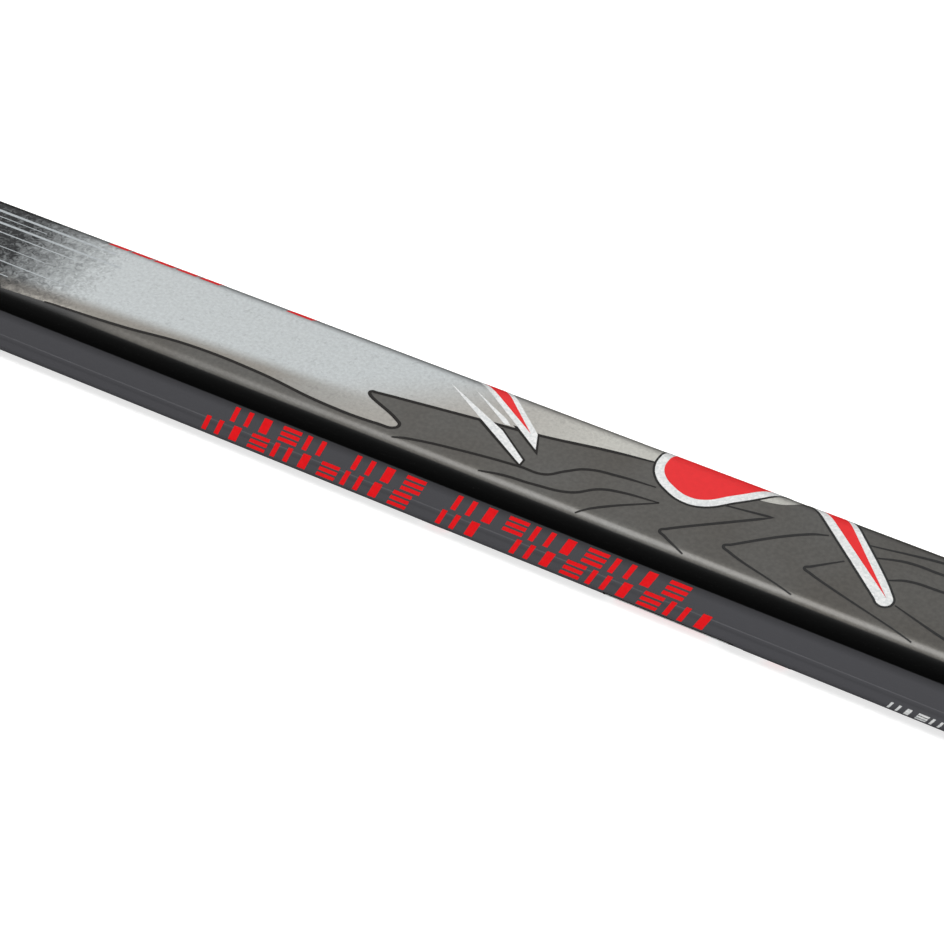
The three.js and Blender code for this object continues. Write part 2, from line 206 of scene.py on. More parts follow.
def shaft_paint():
    paint = new_material("clear_coated_gunmetal_paint")
    place = add(paint, "TexCoord", {}, out="Object")
    x, _, z = add(paint, "SeparateXYZ", {0: place}).node.outputs
    normal = add(paint, "TexCoord", {}, out="Normal")
    _, side_tilt, face_tilt = add(paint, "SeparateXYZ", {0: normal}).node.outputs
    # only the two opposite corners that aren't wrapped by the foil are black
    plain_corner = add(paint, "Math", {0: side_tilt, 1: face_tilt}, operation="MULTIPLY")
    plain_corner = add(paint, "MapRange", {"Value": plain_corner, "From Min": 0.0,
                                           "From Max": 0.03})
    side_tilt = add(paint, "Math", {0: side_tilt}, operation="ABSOLUTE")
    face_tilt = add(paint, "Math", {0: face_tilt}, operation="ABSOLUTE")
    wide = add(paint, "MapRange", {"Value": face_tilt, "From Min": 0.785, "From Max": 0.835},
               **EASED)
    narrow = add(paint, "MapRange", {"Value": side_tilt, "From Min": 0.985, "From Max": 0.9995},
                 **EASED)
    # the charcoal starts with a crisp line a little inside the flat, then gets paler towards
    # the middle; the darker charcoal near the flat's edges is painted shade
    from_middle = add(paint, "Math", {0: z, 1: MID_Z}, operation="SUBTRACT")
    from_middle = add(paint, "Math", {0: from_middle}, operation="ABSOLUTE")
    crisp = add(paint, "MapRange", {"Value": from_middle, "From Min": 5.25 * MM,
                                    "From Max": 5.05 * MM})
    painted_edge_shade = add(paint, "MapRange", {"Value": from_middle, "From Min": 5.1 * MM,
                                    "From Max": 2.6 * MM, "To Min": 0.55, "To Max": 1.0})
    narrow = add(paint, "Math", {0: narrow, 1: crisp}, operation="MULTIPLY")
    narrow = add(paint, "Math", {0: narrow, 1: painted_edge_shade}, operation="MULTIPLY")
    narrow = add(paint, "Math", {0: narrow, 1: plain_corner}, operation="MAXIMUM")
    start = add(paint, "MapRange", {"Value": x, "From Min": PANEL_START[0],
                                    "From Max": PANEL_START[1]}, **EASED)
    end = add(paint, "MapRange", {"Value": x, "From Min": PANEL_END[0],
                                  "From Max": PANEL_END[1]}, **EASED)
    panel = add(paint, "Math", {0: start, 1: end}, operation="MULTIPLY")
    panel = add(paint, "Math", {0: panel, 1: wide}, operation="MULTIPLY")
    cloud = add(paint, "TexNoise", {"Vector": place, "Scale": 1 / (22 * MM), "Detail": 2.0})
    cloud = add(paint, "MapRange", {"Value": cloud, "From Min": 0.3, "From Max": 0.7})
    gunmetal = add(paint, "Mix", {0: cloud, 6: "#484540", 7: "#504f4c"}, **COLOUR_MIX)
    corner = add(paint, "Mix", {0: narrow, 6: "#040404", 7: "#424245"}, **COLOUR_MIX)
    pebble = add(paint, "TexNoise", {"Vector": place, "Scale": 1 / PEBBLE_SIZE, "Detail": 3.0})
    grain = add(paint, "MapRange", {"Value": pebble, "From Min": 0.35, "From Max": 0.65,
                                    "To Min": 0.9, "To Max": 1.1})
    gunmetal = add(paint, "HueSaturation", {"Value": grain, "Color": gunmetal})
    colour = add(paint, "Mix", {0: panel, 6: corner, 7: gunmetal}, **COLOUR_MIX)
    metallic = add(paint, "Math", {0: panel, 1: 0.5}, operation="MULTIPLY")
    relief = add(paint, "Bump", {"Height": pebble, "Strength": 1.0, "Distance": 0.012 * MM})
    # the wound fibres' faint lines along the shaft, drawn far coarser than real to show
    drawn = add(paint, "Mapping", {"Vector": place, "Scale": (0.01, 1, 1)})
    fibres = add(paint, "TexNoise", {"Vector": drawn, "Scale": 1 / FIBRE_SIZE, "Detail": 2.0})
    relief = add(paint, "Bump", {"Height": fibres, "Strength": 1.0, "Distance": 0.01 * MM,
                                 "Normal": relief})
    # the hands' end is left without the polished coat
    hands = add(paint, "MapRange", {"Value": x, "From Min": GRIP_END + 2 * MM,
                                    "From Max": GRIP_END - 2 * MM})
    roughness = add(paint, "MapRange", {"Value": hands, "To Min": 0.36, "To Max": 0.6})
    coat = add(paint, "MapRange", {"Value": hands, "To Min": 0.5, "To Max": 0.0})
    shader = add(paint, "BsdfPrincipled", {
        "Base Color": colour, "Metallic": metallic, "Roughness": roughness, "IOR": 1.5,
        "Coat Weight": coat, "Coat Roughness": 0.06, "Normal": relief,
    })
    add(paint, "OutputMaterial", {"Surface": shader})
    return paint


straight = [tube_low[0], -0.4, -0.2, 0.0, 0.2]
tube_places = straight + even_places(TAPER_START, tube_high[0], 14)
outside = [(x, 0) for x in tube_places]
inside = [(x, -SHAFT_WALL) for x in (tube_high[0], 0.52, 0.42, TAPER_START, tube_low[0])]
finish_piece(
    "shaft_skin", section_loft(outside + inside, closed=True), shaft_paint(),
    ["shaft_tube"],
)

# -------------------- printed films
# The graphics are water-slide films laid round the shaft under its clear coat: a silver foil,
# dark contour lines, and red accents edged in sparkling white. Each one is less than a tenth
# of a millimetre thick and follows the shaft round its corners.

FLAT_HALF = SHAFT_WIDTH / 2 - CORNER_RADIUS
SIDE_HALF = SHAFT_DEPTH / 2 - CORNER_RADIUS
ARC_LENGTH = CORNER_RADIUS * math.pi / 2
SIDE_START = FLAT_HALF + ARC_LENGTH
SIDE_END = SIDE_START + 2 * SIDE_HALF
FACE_TO_FACE = SIDE_END + ARC_LENGTH + FLAT_HALF   # from one wide face's middle to the other's
FILM_UNDER = 0.02 * MM   # each film is sunk by this much into the paint


def wrapped(x, w, height):
    """The point `height` above the shaft at x, w metres round from the top face's middle
    towards +Y, and the direction that faces out there."""
    t = abs(w)
    if t <= FLAT_HALF:
        tilt, across, up = 0, t, SHAFT_DEPTH / 2
    elif t < SIDE_START:
        tilt = (t - FLAT_HALF) / CORNER_RADIUS
        across = FLAT_HALF + CORNER_RADIUS * math.sin(tilt)
        up = SIDE_HALF + CORNER_RADIUS * math.cos(tilt)
    elif t <= SIDE_END:
        tilt, across, up = math.pi / 2, SHAFT_WIDTH / 2, SIDE_HALF - (t - SIDE_START)
    elif t < SIDE_END + ARC_LENGTH:
        tilt = math.pi / 2 + (t - SIDE_END) / CORNER_RADIUS
        across = FLAT_HALF + CORNER_RADIUS * math.sin(tilt)
        up = -SIDE_HALF + CORNER_RADIUS * math.cos(tilt)
    else:
        tilt, across, up = math.pi, FACE_TO_FACE - t, -SHAFT_DEPTH / 2
    out = Vector((0, math.copysign(math.sin(tilt), w), math.cos(tilt)))
    side, face = slim_at(x)
    across -= side if across > side else 0
    up -= math.copysign(face, up) if abs(up) > face else 0
    return Vector((x, math.copysign(across, w), MID_Z + up)) + out * height, out


def lay_on_shaft(bm, top):
    """Bends a flat film, drawn as (x, w), round the shaft. What was under z = 0 sinks into
    the paint and the rest rises to `top`. The way out at each vertex is kept with it."""
    folds = [FLAT_HALF + ARC_LENGTH * i / CORNER_STEPS for i in range(CORNER_STEPS + 1)]
    folds += [FACE_TO_FACE - fold for fold in folds]
    folds = [-fold for fold in folds] + folds
    reach = [v.co.y for v in bm.verts]
    for fold in folds:
        if min(reach) < fold < max(reach):
            bmesh.ops.bisect_plane(
                bm, geom=bm.verts[:] + bm.edges[:] + bm.faces[:], dist=1e-7,
                plane_co=(0, fold, 0), plane_no=(0, 1, 0),
            )
    layer = bm.verts.layers.float_vector.new("out")
    for v in bm.verts:
        height = top if v.co.z > -0.1 * MM else -FILM_UNDER
        v.co, v[layer] = wrapped(v.co.x, v.co.y, height)


def drawn_flat(shapes, stroke=None, grow=0):
    """Draws shapes, lists of (x, w) points in millimetres, as one flat solid in metres. A
    third value in a point makes it a sharp corner. With a `stroke`, the shapes are lines of
    that width that thin out at both ends, and otherwise they are filled and grown by `grow`."""
    curve = bpy.data.curves.new("film_outline", "CURVE")
    curve.dimensions = "3D" if stroke else "2D"
    curve.fill_mode = "FULL" if stroke else "BOTH"
    curve.bevel_depth = stroke / 2 * MM if stroke else 0
    curve.bevel_resolution = 0
    curve.use_fill_caps = bool(stroke)
    curve.extrude = 0 if stroke else MM
    curve.offset = grow * MM
    for shape in shapes:
        spline = curve.splines.new("BEZIER")
        spline.bezier_points.add(len(shape) - 1)
        spline.resolution_u = 8
        spline.use_cyclic_u = not stroke
        for point, (x, w, *sharp) in zip(spline.bezier_points, shape):
            point.co = (x * MM, w * MM, 0)
            point.handle_left_type = point.handle_right_type = "VECTOR" if sharp else "AUTO"
        if stroke:
            spline.bezier_points[0].radius = spline.bezier_points[-1].radius = 0.5
    holder = bpy.data.objects.new("film_outline", curve)
    bpy.context.scene.collection.objects.link(holder)
    bpy.context.view_layer.update()
    drawn = bpy.data.meshes.new_from_object(
        holder.evaluated_get(bpy.context.evaluated_depsgraph_get())
    )
    bm = bmesh.new()
    bm.from_mesh(drawn)
    bmesh.ops.remove_doubles(bm, verts=bm.verts, dist=1e-6)
    bmesh.ops.recalc_face_normals(bm, faces=bm.faces)
    bpy.data.objects.remove(holder)
    bpy.data.curves.remove(curve)
    bpy.data.meshes.remove(drawn)
    return bm


def lay_film(name, shapes, top, material, slot="gloss_carbon", both_ways=True, **drawing):
    """Makes a film and, if it goes `both_ways`, its copy on the other side of the shaft."""
    bm = drawn_flat(shapes, **drawing)
    lay_on_shaft(bm, top)
    if both_ways:
        copy = bmesh.ops.duplicate(bm, geom=bm.verts[:] + bm.edges[:] + bm.faces[:])["geom"]
        verts = [g for g in copy if isinstance(g, bmesh.types.BMVert)]
        half_turn = Matrix.Rotation(math.pi, 3, "X")
        bmesh.ops.rotate(bm, cent=(0, 0, MID_Z), matrix=half_turn, verts=verts)
        for v in verts:
            v[bm.verts.layers.float_vector["out"]].rotate(half_turn)
    ways_out = [v[bm.verts.layers.float_vector["out"]].copy() for v in bm.verts]
    film = finish_piece(name, bm, material)
    film.data.normals_split_custom_set_from_vertices(ways_out)
    return film


# Aluminised foil: a bright cool grey that catches the light as a soft sheen, with a leathery
# pebble, warmer and duller along its lower edge, and going dark where it runs out.
FOIL_DARK = (-123 * MM, -94 * MM)
FOIL_GRAIN = 0.8 * MM
FOIL_LEATHER = 1.3 * MM


def silver_foil():
    foil = new_material("pebbled_aluminised_foil")
    place = add(foil, "TexCoord", {}, out="Object")
    x, y, _ = add(foil, "SeparateXYZ", {0: place}).node.outputs
    normal = add(foil, "TexCoord", {}, out="Normal")
    _, _, tilt = add(foil, "SeparateXYZ", {0: normal}).node.outputs
    tilt = add(foil, "Math", {0: tilt}, operation="ABSOLUTE")
    wide = add(foil, "MapRange", {"Value": tilt, "From Min": 0.75, "From Max": 0.83}, **EASED)
    pebble = add(foil, "TexNoise", {"Vector": place, "Scale": 1 / FOIL_GRAIN, "Detail": 4.0,
                                    "Roughness": 0.6})
    # it turns warmer beyond a slanting line towards the blade, and taupe at its lower edge
    slant = add(foil, "Math", {0: y, 1: -1.6, 2: x}, operation="MULTIPLY_ADD")
    late = add(foil, "MapRange", {"Value": slant, "From Min": -34 * MM, "From Max": -6 * MM},
               **EASED)
    far = add(foil, "MapRange", {"Value": x, "From Min": 0.0, "From Max": 26 * MM})
    warm = add(foil, "Mix", {0: far, 6: "#b5b2ac", 7: "#cbcac3"}, **COLOUR_MIX)
    silver = add(foil, "Mix", {0: late, 6: "#c9cecf", 7: warm}, **COLOUR_MIX)
    low = add(foil, "Math", {0: x, 1: -0.06, 2: y}, operation="MULTIPLY_ADD")
    low = add(foil, "MapRange", {"Value": low, "From Min": -0.2 * MM, "From Max": -4.2 * MM},
              **EASED)
    weaker = add(foil, "MapRange", {"Value": x, "From Min": -48 * MM, "From Max": -20 * MM,
                                    "To Min": 1.0, "To Max": 0.3})
    low = add(foil, "Math", {0: low, 1: weaker}, operation="MULTIPLY")
    silver = add(foil, "Mix", {0: low, 6: silver, 7: "#96928b"}, **COLOUR_MIX)
    glint = add(foil, "MapRange", {"Value": pebble, "From Min": 0.35, "From Max": 0.65,
                                   "To Min": 0.92, "To Max": 1.08})
    silver = add(foil, "HueSaturation", {"Value": glint, "Color": silver})
    # the fade is blotchy, like worn leather
    leather = add(foil, "TexNoise", {"Vector": place, "Scale": 1 / FOIL_LEATHER, "Detail": 3.0,
                                     "Distortion": 1.2})
    mottle = add(foil, "MapRange", {"Value": leather, "From Min": 0.3, "From Max": 0.7,
                                    "To Min": -0.22, "To Max": 0.22})
    bright = add(foil, "MapRange", {"Value": x, "From Min": FOIL_DARK[0],
                                    "From Max": FOIL_DARK[1]})
    edge = add(foil, "Math", {0: bright, 1: mottle}, operation="ADD")
    edge = add(foil, "MapRange", {"Value": edge, "From Min": 0.0, "From Max": 0.9})
    edge = add(foil, "Math", {0: edge, 1: wide}, operation="MULTIPLY")
    colour = add(foil, "Mix", {0: edge, 6: "#1c1e20", 7: silver}, **COLOUR_MIX)
    relief = add(foil, "Bump", {"Height": pebble, "Strength": 1.0, "Distance": 0.04 * MM})
    relief = add(foil, "Bump", {"Height": leather, "Strength": 1.0, "Distance": 0.05 * MM,
                                "Normal": relief})
    shader = add(foil, "BsdfPrincipled", {
        "Base Color": colour, "Metallic": 0.85, "Roughness": 0.34, "Coat Weight": 0.4,
        "Coat Roughness": 0.1, "Normal": relief,
    })
    add(foil, "OutputMaterial", {"Surface": shader})
    return foil


FOIL_EDGE = [
    (-104, -12.0), (-84, -10.7), (-68, -8.6), (-50, -8.6), (-32, -10.2), (-19, -9.9),
    (-15.3, -9.2), (-14.9, -8.0), (-16.2, -6.9), (-25.4, -2.7), (-25.6, -1.9), (-24.4, -1.6),
    (-2.2, 1.7), (12.3, 3.8), (26.8, 6.8), (37, 8.5),
]
BACK_FOLD = 13.6   # how far round the back corner the wide face's colours go
foil_shape = (
    [(-330, -13.4, 0), (-130, -13.4, 0)] + FOIL_EDGE
    + [(47, 8.9), (56, 8.8), (62, 9.3), (66, 11), (68, BACK_FOLD, 0), (-330, BACK_FOLD, 0)]
)
lay_film("foil_film", [foil_shape], 0.02 * MM, silver_foil())


# Screen ink: a nearly black line with soft edges, greyer towards the blade.
def contour_ink():
    ink = new_material("screen_printed_dark_ink")
    place = add(ink, "TexCoord", {}, out="Object")
    x, _, _ = add(ink, "SeparateXYZ", {0: place}).node.outputs
    late = add(ink, "MapRange", {"Value": x, "From Min": 10 * MM, "From Max": 70 * MM})
    speck = add(ink, "TexNoise", {"Vector": place, "Scale": 1 / (0.9 * MM), "Detail": 3.0})
    dark = add(ink, "Mix", {0: speck, 6: "#100e0d", 7: "#191614"}, **COLOUR_MIX)
    grey = add(ink, "Mix", {0: speck, 6: "#1b1b1b", 7: "#242424"}, **COLOUR_MIX)
    colour = add(ink, "Mix", {0: late, 6: dark, 7: grey}, **COLOUR_MIX)
    relief = add(ink, "Bump", {"Height": speck, "Strength": 1.0, "Distance": 0.01 * MM})
    shader = add(ink, "BsdfPrincipled", {
        "Base Color": colour, "Roughness": 0.6, "IOR": 1.5, "Specular IOR Level": 0.25,
        "Normal": relief,
    })
    add(ink, "OutputMaterial", {"Surface": shader})
    return ink


CONTOURS = [
    [(-14.5, -11.8), (-11.5, -10.8), (0.7, -8.3), (12.9, -6.6), (18.6, -6.1), (21.8, -3.2),
     (25.1, -0.6), (32.2, 1.0), (40, 1.8)],
    [(6.1, -11.7), (11.6, -10.5), (18.3, -9.8), (25.8, -8.1), (30.4, -4.4), (34.3, -3.1),
     (42.6, -2.0, 0)],
    [(42.6, -2.0, 0), (32.9, -9.0), (29, -12.6)],
    [(54.3, 4.0), (64.3, 5.6, 0), (47.3, -7.9), (46.3, -9.0), (47.8, -10), (53, -12.4)],
    [(76, 6.5), (72.7, 5.0), (60.3, -5.6), (59.2, -6.6), (60.8, -7.6), (76.3, -12)],
    [(81.6, 1.4), (76.5, -3.3), (75.6, -4.2), (77, -5.0), (101.4, -12.1)],
    [(84, 7.9), (98.8, 10.6), (112, 11.6)],
    [(86.3, 5.2), (92.4, 7.2), (100, 7.5), (118, 9.5)],
    [(91, 0.7), (94.4, 2.4), (101.8, 3.1), (124, 6)],
    [(95, -4.9), (106.6, -8.5), (121, -12.2)],
]
for number in range(5):
    nose = 112 + 27 * number
    CONTOURS.append([
        (nose + 34, 11), (nose + 24, 9.5), (nose + 1, -2.6), (nose, -3.6), (nose + 1.6, -4.6),
        (nose + 31, -12.2),
    ])
EDGE_STROKE = 0.78
CONTOUR_STROKE = 0.68
# each layer stands a little above the last one, so that no two share a surface
EDGE_TOP = 0.04 * MM
CONTOUR_TOP = 0.042 * MM
SHADOW_TOP = 0.052 * MM
BORDER_TOP = 0.07 * MM
ACCENT_TOP = 0.088 * MM
ink_film = contour_ink()
lay_film("foil_edge_line", [FOIL_EDGE], EDGE_TOP, ink_film, stroke=EDGE_STROKE)
lay_film("contour_lines", CONTOURS, CONTOUR_TOP, ink_film, stroke=CONTOUR_STROKE)


# Pearl white: an off-white ink full of glass flake, so it glitters from point to point. The
# flakes are drawn coarse enough to show.
def pearl_white():
    white = new_material("flake_pearl_white_ink")
    place = add(white, "TexCoord", {}, out="Object")
    flakes = add(white, "TexVoronoi", {"Vector": place, "Scale": 1 / (0.45 * MM)}, out="Color")
    tone, _, _ = add(white, "SeparateXYZ", {0: flakes}).node.outputs
    colour = add(white, "Mix", {0: tone, 6: "#c3c6c6", 7: "#dbdbda"}, **COLOUR_MIX)
    relief = add(white, "Bump", {"Height": tone, "Strength": 1.0, "Distance": 0.008 * MM})
    shader = add(white, "BsdfPrincipled", {
        "Base Color": colour, "Metallic": 0.25, "Roughness": 0.4, "IOR": 1.5,
        "Coat Weight": 0.4, "Coat Roughness": 0.08, "Normal": relief,
    })
    add(white, "OutputMaterial", {"Surface": shader})
    return white


# Signal red: an even, opaque screen ink with a little orange peel.
red_film = grained(
    "gloss_signal_red_ink", "TexNoise", {"Scale": 1 / (1.2 * MM), "Detail": 2.0},
    ("#bf0a0f", "#cd1017"), 0.008 * MM,
    {"Roughness": 0.5, "IOR": 1.45, "Coat Weight": 0.1, "Coat Roughness": 0.1},
)
LOBE = [
    (39.2, BACK_FOLD, 0), (38.6, 10.5), (38.8, 8), (40.2, 5.7), (42.6, 4), (46.8, 2.6),
    (50, 3.3), (54.3, 7.1), (58.9, 11.4), (61, BACK_FOLD, 0),
]
LONG_STREAK = [(-12.4, 8.9, 0), (12.6, -6.0, 0), (12.6, -4.6, 0), (4.6, 1.2, 0)]
SHORT_STREAK = [(-6.6, 9.6, 0), (3.9, 3.2, 0), (5.2, 3.4, 0), (3.8, 4.6, 0)]
WEDGE_EDGE = [(-8.4, BACK_FOLD, 0), (6.6, 3.9, 0), (13.4, -0.6, 0), (11.5, 3.8, 0),
              (-0.2, BACK_FOLD, 0)]
WEDGE = [(-6.6, BACK_FOLD, 0), (-1.6, BACK_FOLD, 0), (10.1, 3.3, 0)]
# the parts of the streaks and of the wedge's edge that cross the gunmetal are outlined
OUTLINED = [
    [(0.2, 1.2, 0), (12.6, -6.0, 0), (12.6, -4.6, 0), (4.2, 1.4, 0)],
    [(7.2, 3.4, 0), (13.4, -0.6, 0), (11.5, 3.6, 0), (9.5, 3.6, 0)],
]
BLADE_EDGE = [(69.6, BACK_FOLD, 0), (90.6, -4.9), (91.9, -6.1), (93.4, -6.0), (94.2, -4.4),
              (93.1, -2.3), (78.2, BACK_FOLD, 0)]
BLADE_MARK = [(72, BACK_FOLD, 0), (76.8, BACK_FOLD, 0), (92.8, -4.0, 0)]
LOBE_BORDER = 1.9
OUTLINE = 0.5
white_film = pearl_white()
lay_film("lobe_shadow", [LOBE], SHADOW_TOP, ink_film, grow=LOBE_BORDER + OUTLINE)
lay_film("accent_shadow", OUTLINED + [BLADE_EDGE], SHADOW_TOP, ink_film, grow=OUTLINE)
lay_film("lobe_border", [LOBE], BORDER_TOP, white_film, grow=LOBE_BORDER)
lay_film(
    "accent_borders", [LONG_STREAK, SHORT_STREAK, WEDGE_EDGE, BLADE_EDGE], BORDER_TOP, white_film,
)
lay_film("red_accents", [LOBE, WEDGE, BLADE_MARK], ACCENT_TOP, red_film)

# -------------------- streaks and side marks
# Where the foil runs out towards the hands it breaks up into thin silver streaks. Each narrow
# side has two rows of plain slanting red marks and a short run of small white ones. They are
# thin foil and screen ink, put on like the films above.

MARK_TOP = 0.04 * MM
STREAKS = [
    (-330, -100, 9.4, 1.1), (-300, -96, 5.8, 1.0), (-320, -106, 3.0, 0.55),
    (-290, -102, -5.4, 0.55), (-250, -112, -1.2, 0.4), (-270, -116, -9.3, 0.5),
    (-240, -118, 7.6, 0.4),
]
# The same foil where it stands alone as a streak, without the fade.
foil_streak = grained(
    "bright_streak_foil", "TexNoise", {"Scale": 1 / FOIL_GRAIN, "Detail": 4.0},
    ("#9aa0a3", "#d3d8db"), 0.02 * MM, {"Metallic": 0.85, "Roughness": 0.38},
)
for number, (start, end, w, width) in enumerate(STREAKS, 1):
    lay_film(
        f"silver_streak_{number}", [[(start, w - 0.6), ((start + end) / 2, w), (end, w)]],
        MARK_TOP, foil_streak, stroke=width,
    )


# The clear coat is thinner over the mould line, so it looks a little paler and duller.
def mould_line():
    line = new_material("rubbed_charcoal_paint")
    place = add(line, "TexCoord", {}, out="Object")
    rub = add(line, "TexNoise", {"Vector": place, "Scale": 1 / (4 * MM), "Detail": 2.0})
    colour = add(line, "Mix", {0: rub, 6: "#4b4b4e", 7: "#58585b"}, **COLOUR_MIX)
    shader = add(line, "BsdfPrincipled", {"Base Color": colour, "Roughness": 0.5, "IOR": 1.5})
    add(line, "OutputMaterial", {"Surface": shader})
    return line


LEAN = 0.45   # how far a mark leans towards the blade, as a share of its height


def leaning_bar(x, w, width, height, lean=LEAN):
    """A slanting bar whose top is at w. The narrow side's height runs down towards -w."""
    return [
        (x, w - height, 0), (x + width, w - height, 0),
        (x + width + lean * height, w, 0), (x + lean * height, w, 0),
    ]


def mark_row(words, x, w, pitch, height):
    """A row of plain marks in groups: pairs of bars, stacks of three dashes, and single
    blocks, by turns."""
    shapes = []
    bar = 0.24 * height
    for count in words:
        for kind in (2 * number % 3 for number in range(count)):
            wide = pitch - 0.3 * height
            if kind == 0:
                shapes.append(leaning_bar(x, w, bar, height))
                shapes.append(leaning_bar(x + wide - bar, w, bar, height))
            if kind == 1:
                for step in range(3):
                    down = step * (height - bar) / 2
                    inset = LEAN * (height - bar - down)
                    shapes.append(leaning_bar(x + inset, w - down, wide, bar))
            if kind == 2:
                shapes.append(leaning_bar(x + 0.25 * wide, w, 0.45 * wide, height))
            x += pitch
        x += pitch
    return shapes


UPPER_ROW = -18.6
LOWER_ROW = -24.4
WHITE_ROW = -27.9
RED_HEIGHT = 4.9
lay_film(
    "side_marks_red",
    mark_row((4, 3, 9), -53.5, UPPER_ROW, 6.1, RED_HEIGHT)
    + mark_row((9, 2, 8), -61.5, LOWER_ROW, 5.9, RED_HEIGHT),
    MARK_TOP, red_film,
)
lay_film("side_marks_white", mark_row((7, 4), 99.4, WHITE_ROW, 2.9, 2.2), MARK_TOP, white_film)
CORNER_ROW = 17.2
CORNER_HEIGHT = 5.3
CORNER_MARKS = [
    leaning_bar(-104 + 6.2 * step, CORNER_ROW, 5.2, CORNER_HEIGHT) for step in range(5)
] + [leaning_bar(-56, CORNER_ROW, 6.6, CORNER_HEIGHT)]
lay_film("corner_marks_red", CORNER_MARKS, MARK_TOP, red_film, both_ways=False)

# A faint pale witness line runs along each narrow side, where the two mould halves met.
MOULD_ROW = -25.2
lay_film(
    "mould_witness_line", [[(-420, MOULD_ROW), (0, MOULD_ROW), (325, MOULD_ROW)]], 0.03 * MM,
    mould_line(), stroke=0.32,
)

# -------------------- grip
# The upper part of the shaft is coated with a tacky clear that isn't polished, and rows of
# small chevrons stand proud of the narrow sides so that gloves don't slip. Thin printed lines
# across the wide faces show where to saw the stick to length.

GRIP_START = -726 * MM
GRIP_STEP = 7.5 * MM


# Soft-touch urethane: black, dull and slightly rubbery, with a very fine pebble.
soft_touch = grained(
    "soft_touch_urethane_coating", "TexNoise", {"Scale": 1 / (0.7 * MM), "Detail": 3.0},
    ("#0e0e0f", "#1a1a1b"), 0.02 * MM, {"Roughness": 0.62, "IOR": 1.48},
)


def chevron(x, reach, depth, thick):
    """A chevron across the narrow side on -Y, its point towards the butt end."""
    middle = -(SIDE_START + SIDE_HALF) / MM
    return [
        (x + depth, middle + reach, 0), (x, middle, 0), (x + depth, middle - reach, 0),
        (x + depth + thick, middle - reach, 0), (x + thick, middle, 0),
        (x + depth + thick, middle + reach, 0),
    ]


chevrons = [
    chevron((GRIP_START + GRIP_STEP * step) / MM, 10.5, 4.5, 1.5)
    for step in range(int((GRIP_END - GRIP_START) / GRIP_STEP))
]
lay_film("grip_chevrons", chevrons, 0.22 * MM, soft_touch)

INCH = 25.4
CUT_WIDTH = 0.5
cut_marks = []
for number in range(1, 7):
    x = cad_box[0][0] / MM + INCH / 2 + INCH * number
    half = 7 if number % 2 else 9
    cut_marks.append(leaning_bar(x, half, CUT_WIDTH, 2 * half, lean=0))
lay_film("cut_length_marks", cut_marks, 0.035 * MM, white_film)

# -------------------- stock label
# A die-cut sticker of white vinyl, stuck on one narrow side for the shop. Its print is a plain
# pattern of bars with no words, and the film is a sixth of a millimetre thick.

label_low, label_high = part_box("stock_label")


# Printed vinyl: bright white and slightly satin, with a faint orange peel.
def label_vinyl(name, dark, light):
    return grained(
        name, "TexNoise", {"Scale": 1 / (1.5 * MM), "Detail": 2.0}, (dark, light), 0.006 * MM,
        {"Roughness": 0.4, "IOR": 1.46},
    )


label_x = (label_low.x + label_high.x) / 2 / MM
label_half = (label_high.x - label_low.x) / 2 / MM
label_tall = (label_high.z - label_low.z) / 2 / MM
label_w = (SIDE_START + SIDE_HALF) / MM
CUT = 1.2   # the die-cut corners' size


def rounded_label():
    shape = []
    for a, b in ((-1, -1), (1, -1), (1, 1), (-1, 1)):
        x, w = label_x + a * label_half, label_w + b * label_tall
        first, second = (x, w - b * CUT), (x - a * CUT, w)
        shape += [first, second] if a * b > 0 else [second, first]
    return shape


white_vinyl = label_vinyl("satin_white_vinyl", "#e7e7e2", "#f4f4f1")
lay_film(
    "stock_label_vinyl", [rounded_label()], 0.16 * MM, white_vinyl, slot="label_vinyl",
    both_ways=False,
)
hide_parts("stock_label")
bars = []
bar_x = label_x - label_half + 4
for number in range(26):
    thick = 0.35 + 0.35 * (number * 7 % 3)
    bars.append(leaning_bar(bar_x, label_w + 3, thick, 6, lean=0))
    bar_x += thick + 0.4 + 0.3 * (number * 5 % 2)
for number in range(4):
    top = label_w - 2.1 + 1.6 * number
    bars.append(leaning_bar(label_x + 10, top, 16 - 3 * number, 0.7, lean=0))
lay_film(
    "stock_label_bars", bars, 0.18 * MM, label_vinyl("black_label_print", "#111112", "#1c1c1d"),
    slot="label_vinyl", both_ways=False,
)

# -------------------- butt cap
# An injection-moulded plug with a flange the size of the shaft. It is glued into the tube's
# end, so only the flange, with its rounded rim and shallow moulded dish, is seen.

CAP_FLANGE = 3.2 * MM
RIM_RADIUS = 0.9 * MM
PLUG_GROW = -2.1 * MM
PLUG_WALL = 1.8 * MM
EDGE_BREAK = 0.1 * MM
DISH = ((0, -2.6), (0.15, -2.8), (0.6, -3.0), (0.7, -3.6))   # depth and inset of its slope
cap_low, cap_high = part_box("butt_cap")


# Moulded nylon: charcoal black and even, dulled by the mould's spark-eroded grain, which is
# drawn coarse enough to show.
def cap_plastic():
    plastic = new_material("spark_grained_nylon")
    place = add(plastic, "TexCoord", {}, out="Object")
    spark = add(plastic, "TexVoronoi", {"Vector": place, "Scale": 1 / (0.35 * MM)})
    cloud = add(plastic, "TexNoise", {"Vector": place, "Scale": 1 / (6 * MM)})
    colour = add(plastic, "Mix", {0: cloud, 6: "#151516", 7: "#1f1f20"}, **COLOUR_MIX)
    relief = add(plastic, "Bump", {"Height": spark, "Strength": 1.0, "Distance": 0.02 * MM})
    shader = add(plastic, "BsdfPrincipled", {
        "Base Color": colour, "Roughness": 0.5, "IOR": 1.53, "Normal": relief,
    })
    add(plastic, "OutputMaterial", {"Surface": shader})
    return plastic


def rim(x, grow, away):
    """Stations round the flange's rounded rim, from its side to its end."""
    turns = [math.pi / 2 * step / 6 for step in range(7)]
    return [
        (x + away * RIM_RADIUS * math.sin(t), grow - RIM_RADIUS * (1 - math.cos(t)))
        for t in turns
    ]


